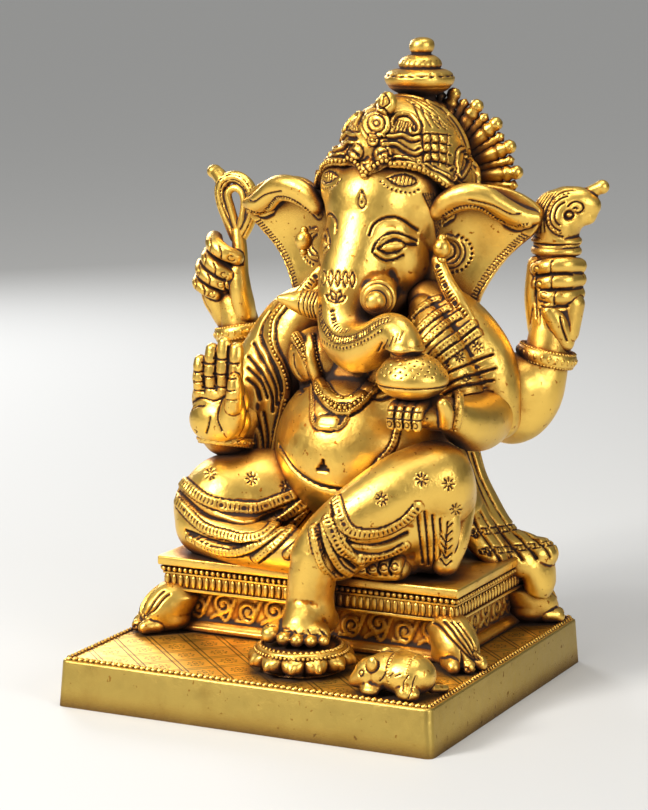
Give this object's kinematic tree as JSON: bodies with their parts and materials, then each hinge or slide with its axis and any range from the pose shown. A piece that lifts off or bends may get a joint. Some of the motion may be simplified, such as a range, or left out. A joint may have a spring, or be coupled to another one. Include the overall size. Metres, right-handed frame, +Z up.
{
  "type": "seated elephant-headed idol",
  "caption": "Seated elephant-headed idol in aged brass on a clawed throne and square plinth, one foot on a lotus, a sweet in the trunk and a mouse beside it.",
  "frame": {"origin": "bottom centre of the plinth", "axes": "+Z up, -Y towards the side the idol faces, +X towards the idol's own left"},
  "size_m": [0.1821, 0.1529, 0.255],
  "materials": {
    "idol_brass": "polished, with dark brown patina left in the grooves",
    "plinth_brass": "satin, slightly olive, with small casting pits",
    "bolt_steel": "plain zinc-plated, dull"
  },
  "bodies": {
    "root": {"plinth": "plinth_brass", "throne_seat": "idol_brass", "throne_apron": "idol_brass", "throne_foot_front_right": "idol_brass", "throne_foot_front_left": "idol_brass", "throne_foot_back_right": "idol_brass", "throne_foot_back_left": "idol_brass", "lotus_footrest": "idol_brass", "mouse": "idol_brass", "hold_down_bolt_1": "bolt_steel", "hold_down_bolt_2": "bolt_steel", "hold_down_bolt_3": "bolt_steel", "hold_down_bolt_4": "bolt_steel", "torso": "idol_brass", "head": "idol_brass", "crown": "idol_brass", "crown_finial": "idol_brass", "halo_fan": "idol_brass", "trunk": "idol_brass", "right_tusk": "idol_brass", "left_tusk_stub": "idol_brass", "right_ear": "idol_brass", "left_ear": "idol_brass", "right_leg": "idol_brass", "left_leg": "idol_brass", "right_foot": "idol_brass", "left_foot": "idol_brass", "front_right_arm": "idol_brass", "rear_right_arm": "idol_brass", "front_left_arm": "idol_brass", "rear_left_arm": "idol_brass", "front_right_hand": "idol_brass", "rear_right_hand": "idol_brass", "front_left_hand": "idol_brass", "rear_left_hand": "idol_brass", "noose": "idol_brass", "goad": "idol_brass", "bangle_front_right": "idol_brass", "bangle_rear_right": "idol_brass", "bangle_front_left": "idol_brass", "bangle_rear_left": "idol_brass", "shawl_right": "idol_brass", "shawl_left": "idol_brass", "shawl_end_right": "idol_brass", "shawl_end_left": "idol_brass", "sash_end": "idol_brass", "necklace": "idol_brass", "pendant": "idol_brass", "right_earring": "idol_brass", "left_earring": "idol_brass", "modak": "idol_brass"}
  },
  "joints": []
}
